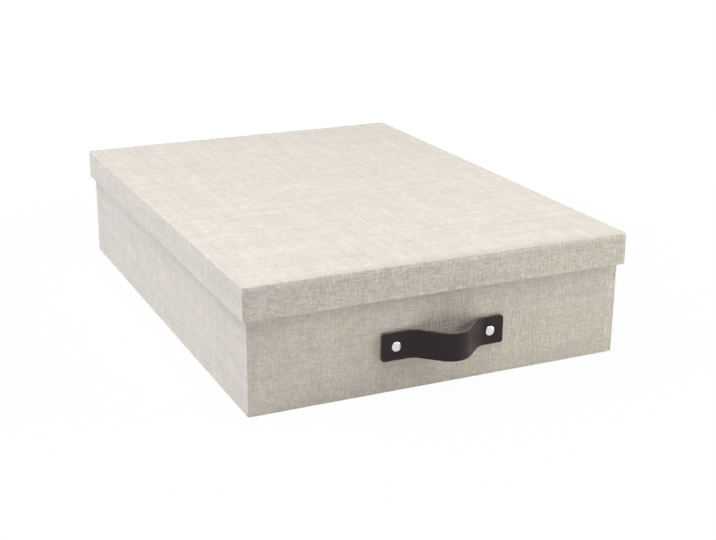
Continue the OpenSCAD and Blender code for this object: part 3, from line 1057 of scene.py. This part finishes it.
class FILEBOX_OT_papers(bpy.types.Operator):
    """Gives the boards, stays, linings and the base sheet their finishes"""

    bl_idname = "file_box.papers"
    bl_label = "Boards and Papers"

    def execute(self, context):
        paper = context.scene.file_box.paper
        # By the last word of a node's name. The numbers are the strength of the flecks, the
        # fineness of the fibres and the depth of the relief.
        finishes = {
            "board": paper_finish("grey_board", paper.board, 0.16, 700.0, 0.00006),
            "stays": paper_finish("stay_paper", paper.stay, 0.1, 900.0, 0.00003),
            "lining": paper_finish("lining_paper", paper.lining, 0.035, 1100.0, 0.00002),
            "sheet": paper_finish("base_paper", paper.base, 0.06, 900.0, 0.00003),
        }
        for name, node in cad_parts.items():
            kind = name.rsplit("_", 1)[1]
            if kind in finishes:
                node.data.materials.clear()
                node.data.materials.append(finishes[kind])
        return {"FINISHED"}


# ---- Stage ----

WHITE = (1.0, 1.0, 1.0, 1.0)
FLOOR_GREY = (0.86, 0.86, 0.86, 1.0)
WARM_AIR = (1.0, 0.99, 0.975, 1.0)
FADE_FROM, FADE_TO = 0.2, 0.5  # where the floor's shadow begins and ends to fade
BESIDE_BOX = 0.96  # the share of plain white in the floor beside the box
LAMPS = {  # size, place, the point that it looks at, and colour
    "overhead": (1.0, (-0.21, -0.2, 1.3), (-0.1, -0.15, 0.05), (1.0, 0.985, 0.975)),
    "side": (1.2, (-1.4, 0.6, 1.05), (0.0, 0.0, 0.05), (0.892, 0.916, 1.0)),
    "fill": (0.5, (0.85, -0.45, 0.35), (0.1, -0.15, 0.05), (1.0, 0.985, 0.94)),
}
CAMERA_PLACE = (-0.3607, -0.8113, 0.3266)
CAMERA_DIP, CAMERA_TURN = 18.18, 23.49  # degrees below level, and to the right
CAMERA_SHIFT = (0.0566, -0.0286)


def white_to_the_eye(nodes, plain, white, share):
    """Mixes a shader with plain white wherever the camera or a reflection looks at it."""
    path = nodes.add("ShaderNodeLightPath")
    seen = nodes.math("MAXIMUM", path.outputs["Is Camera Ray"], path.outputs["Is Glossy Ray"])
    amount = nodes.math("MULTIPLY", seen, share)
    inputs = {0: amount, 1: plain.outputs[0], 2: white.outputs[0]}
    return nodes.add("ShaderNodeMixShader", inputs).outputs[0]


def soft_lamp(name, power, size, place, aim, colour):
    """A square area lamp that looks at a point."""
    lamp = bpy.data.lights.new(name, "AREA")
    lamp.energy = power
    lamp.size = size
    lamp.color = colour
    made = bpy.data.objects.new(name, lamp)
    made.location = place
    made.visible_camera = False
    made.rotation_euler = (Vector(aim) - Vector(place)).to_track_quat("-Z", "Y").to_euler()
    bpy.context.scene.collection.objects.link(made)


class FILEBOX_OT_stage(bpy.types.Operator):
    """Sets the floor, the plain white surroundings, the soft lamps and the camera"""

    bl_idname = "file_box.stage"
    bl_label = "Stage"

    def execute(self, context):
        stage = context.scene.file_box.stage
        self.floor(stage)
        self.world(stage)
        for name, lamp in LAMPS.items():
            soft_lamp(name + "_lamp", getattr(stage, name), *lamp)
        self.camera(stage)
        context.scene.view_settings.view_transform = "Standard"
        return {"FINISHED"}

    def floor(self, stage):
        """A round floor, plain white to the eye but for a soft shadow beside the box."""
        material = bpy.data.materials.new("white_floor")
        material.use_nodes = True
        nodes = Nodes(material.node_tree)
        nodes.tree.nodes.clear()
        plain = nodes.add("ShaderNodeBsdfDiffuse", {"Color": FLOOR_GREY})
        white = nodes.add("ShaderNodeEmission", {"Color": WHITE, "Strength": 1.0})
        seen = white_to_the_eye(nodes, plain, white, self.fade(nodes))
        nodes.add("ShaderNodeOutputMaterial", {"Surface": seen})
        bm = bmesh.new()
        bmesh.ops.create_circle(bm, cap_ends=True, segments=96, radius=stage.floor_radius)
        floor = placed(bm, "floor", material)

    def fade(self, nodes):
        """The share of plain white in the floor: all of it away from the box, less beside it."""
        where = nodes.add("ShaderNodeTexCoord").outputs["Object"]
        away = nodes.add("ShaderNodeVectorMath", {0: where}, operation="LENGTH")
        inputs = {0: away.outputs["Value"], 1: FADE_FROM, 2: FADE_TO, 3: BESIDE_BOX, 4: 1.0}
        ramp = nodes.add("ShaderNodeMapRange", inputs, interpolation_type="SMOOTHSTEP")
        return ramp.outputs["Result"]

    def world(self, stage):
        """A faint even light from all sides, plain white to the eye."""
        world = bpy.data.worlds.new("white_surroundings")
        world.use_nodes = True
        nodes = Nodes(world.node_tree)
        nodes.tree.nodes.clear()
        plain = nodes.add("ShaderNodeBackground", {"Color": WARM_AIR, "Strength": stage.ambient})
        white = nodes.add("ShaderNodeBackground", {"Color": WHITE, "Strength": 1.0})
        seen = white_to_the_eye(nodes, plain, white, 1.0)
        nodes.add("ShaderNodeOutputWorld", {"Surface": seen})
        bpy.context.scene.world = world

    def camera(self, stage):
        """A camera at the photograph's viewing angle."""
        data = bpy.data.cameras.new("camera")
        data.sensor_width = 36.0
        data.lens = stage.focal_length
        data.shift_x, data.shift_y = CAMERA_SHIFT
        data.clip_start = 0.05
        data.clip_end = 50.0
        camera = bpy.data.objects.new("camera", data)
        camera.location = CAMERA_PLACE
        camera.rotation_euler = (math.radians(90 - CAMERA_DIP), 0.0, math.radians(-CAMERA_TURN))
        bpy.context.scene.collection.objects.link(camera)
        bpy.context.scene.camera = camera


class FILEBOX_PT_sidebar(bpy.types.Panel):
    """Lists the pieces of the file box and their settings"""

    bl_idname = "FILEBOX_PT_sidebar"
    bl_label = "File Box"
    bl_space_type = "VIEW_3D"
    bl_region_type = "UI"
    bl_category = "File Box"

    def draw(self, context):
        settings = context.scene.file_box
        for operator in OPERATORS:
            self.layout.operator(operator.bl_idname)
        for group in (settings.cloth, settings.strap, settings.paper, settings.stage):
            box = self.layout.box()
            for name in group.__annotations__:
                box.prop(group, name)


OPERATORS = (
    FILEBOX_OT_papers,
    FILEBOX_OT_tray_cover,
    FILEBOX_OT_lid_cover,
    FILEBOX_OT_pull_strap,
    FILEBOX_OT_rivets,
    FILEBOX_OT_back_caps,
    FILEBOX_OT_stage,
)

CLASSES = (
    ClothSettings,
    StrapSettings,
    PaperSettings,
    StageSettings,
    FileBoxSettings,
    *OPERATORS,
    FILEBOX_PT_sidebar,
)


def register():
    for cls in CLASSES:
        bpy.utils.register_class(cls)
    bpy.types.Scene.file_box = PointerProperty(type=FileBoxSettings)


def unregister():
    del bpy.types.Scene.file_box
    for cls in reversed(CLASSES):
        bpy.utils.unregister_class(cls)


def main():
    register()
    bpy.ops.file_box.papers()
    bpy.ops.file_box.tray_cover()
    bpy.ops.file_box.lid_cover()
    bpy.ops.file_box.pull_strap()
    bpy.ops.file_box.rivets()
    bpy.ops.file_box.back_caps()
    bpy.ops.file_box.stage()


if __name__ == "__main__":
    main()
